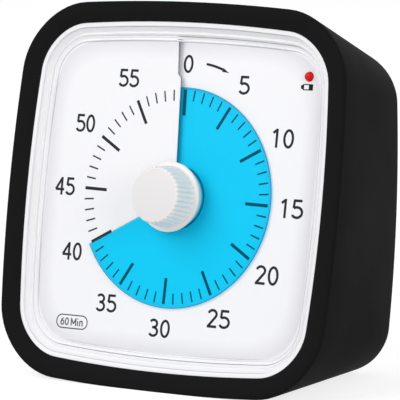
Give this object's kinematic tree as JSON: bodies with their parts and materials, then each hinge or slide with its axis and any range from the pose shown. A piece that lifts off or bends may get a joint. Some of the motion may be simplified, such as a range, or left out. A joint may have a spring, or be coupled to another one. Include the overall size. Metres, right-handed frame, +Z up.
{
  "type": "visual countdown timer",
  "caption": "Square desk countdown timer in a silicone sleeve; a blue film on a ribbed knob turns through a slit in a slightly helical dial and shows the minutes left.",
  "frame": {"origin": "centre of the part's footprint box, on the surface it rests on", "axes": "+Z up, -Y towards the viewer of the dial (the dial leans back), +X to the viewer's right"},
  "size_m": [0.0786, 0.0452, 0.077],
  "materials": {
    "silicone": "matte moulded silicone",
    "case_white": "satin moulded plastic",
    "dial_white": "matt moulded plastic with printed scale",
    "film_blue": "translucent coloured film",
    "knob_white": "satin moulded plastic",
    "hub_plastic": "moulded plastic",
    "gear_plastic": "natural moulded acetal",
    "movement_plastic": "moulded plastic",
    "steel": "drawn steel",
    "spring_metal": "sprung bronze",
    "magnet": "sintered magnet",
    "core_iron": "stamped soft iron",
    "copper": "enamelled copper wire",
    "bobbin_plastic": "moulded plastic",
    "nickel": "nickel-plated contact",
    "cell_can": "plain wrapped can",
    "board_green": "solder-masked glass laminate",
    "black_plastic": "moulded plastic",
    "slider_plastic": "moulded plastic",
    "lamp_red": "tinted lens"
  },
  "bodies": {
    "case": {"silicone_cover": "silicone", "front_case": "case_white", "rear_case": "case_white", "dial_plate": "dial_white", "indicator_light": "lamp_red", "movement_front": "movement_plastic", "movement_back": "movement_plastic", "wheel_pins": "steel", "stator": "core_iron", "coil_core": "core_iron", "coil_bobbin": "bobbin_plastic", "coil_winding": "copper", "battery_cell": "cell_can", "battery_spring": "nickel", "battery_plate": "nickel", "circuit_board": "board_green", "timer_chip": "black_plastic", "crystal": "nickel", "buzzer": "black_plastic", "switch_body": "steel", "case_screws": "steel", "movement_screws": "steel", "board_screws": "steel"},
    "knob": {"setting_knob": "knob_white", "knob_shaft": "steel", "shaft_clip": "steel", "friction_spring": "spring_metal"},
    "disc": {"timer_disc": "film_blue", "disc_hub": "hub_plastic"},
    "centre_gear": {"centre_wheel": "gear_plastic"},
    "third_gear": {"third_wheel": "gear_plastic"},
    "fourth_gear": {"fourth_wheel": "gear_plastic"},
    "fifth_gear": {"fifth_wheel": "gear_plastic"},
    "rotor_gear": {"rotor": "magnet"},
    "switch": {"sound_switch": "slider_plastic"},
    "door": {"battery_door": "case_white"}
  },
  "joints": [
    {"name": "disc_lift", "type": "slide", "parent": "knob", "child": "disc", "axis": [0, -0.9833, 0.1822], "range_m": [-0.0008, 0.0004]},
    {"name": "knob_turn", "type": "hinge", "parent": "case", "child": "knob", "pos_m": [0, -0.01457, 0.03836], "axis": [0, -0.9833, 0.1822], "range_deg": [-120, 240]},
    {"name": "centre_turn", "type": "hinge", "parent": "case", "child": "centre_gear", "pos_m": [0, -0.01457, 0.03836], "axis": [0, -0.9833, 0.1822], "continuous": true},
    {"name": "third_turn", "type": "hinge", "parent": "case", "child": "third_gear", "pos_m": [-0.00816, -0.01527, 0.03462], "axis": [0, -0.9833, 0.1822], "continuous": true},
    {"name": "fourth_turn", "type": "hinge", "parent": "case", "child": "fourth_gear", "pos_m": [-0.00387, -0.01638, 0.02859], "axis": [0, -0.9833, 0.1822], "continuous": true},
    {"name": "fifth_turn", "type": "hinge", "parent": "case", "child": "fifth_gear", "pos_m": [0.00322, -0.01616, 0.02982], "axis": [0, -0.9833, 0.1822], "continuous": true},
    {"name": "rotor_turn", "type": "hinge", "parent": "case", "child": "rotor_gear", "pos_m": [0.00923, -0.01558, 0.03296], "axis": [0, -0.9833, 0.1822], "continuous": true},
    {"name": "switch_slide", "type": "slide", "parent": "case", "child": "switch", "axis": [-1, 0, 0], "range_m": [0, 0.003]},
    {"name": "door_swing", "type": "hinge", "parent": "case", "child": "door", "pos_m": [0, 0.0186, 0.00698], "axis": [-1, 0, 0], "range_deg": [0, 70]}
  ],
  "couplings": [
    {"joint": "knob_turn", "follows": "disc_lift", "rad_per_m": -5236},
    {"joint": "third_turn", "follows": "centre_turn", "ratio": -4},
    {"joint": "fourth_turn", "follows": "centre_turn", "ratio": 30},
    {"joint": "fifth_turn", "follows": "centre_turn", "ratio": -240},
    {"joint": "rotor_turn", "follows": "centre_turn", "ratio": 1800}
  ]
}
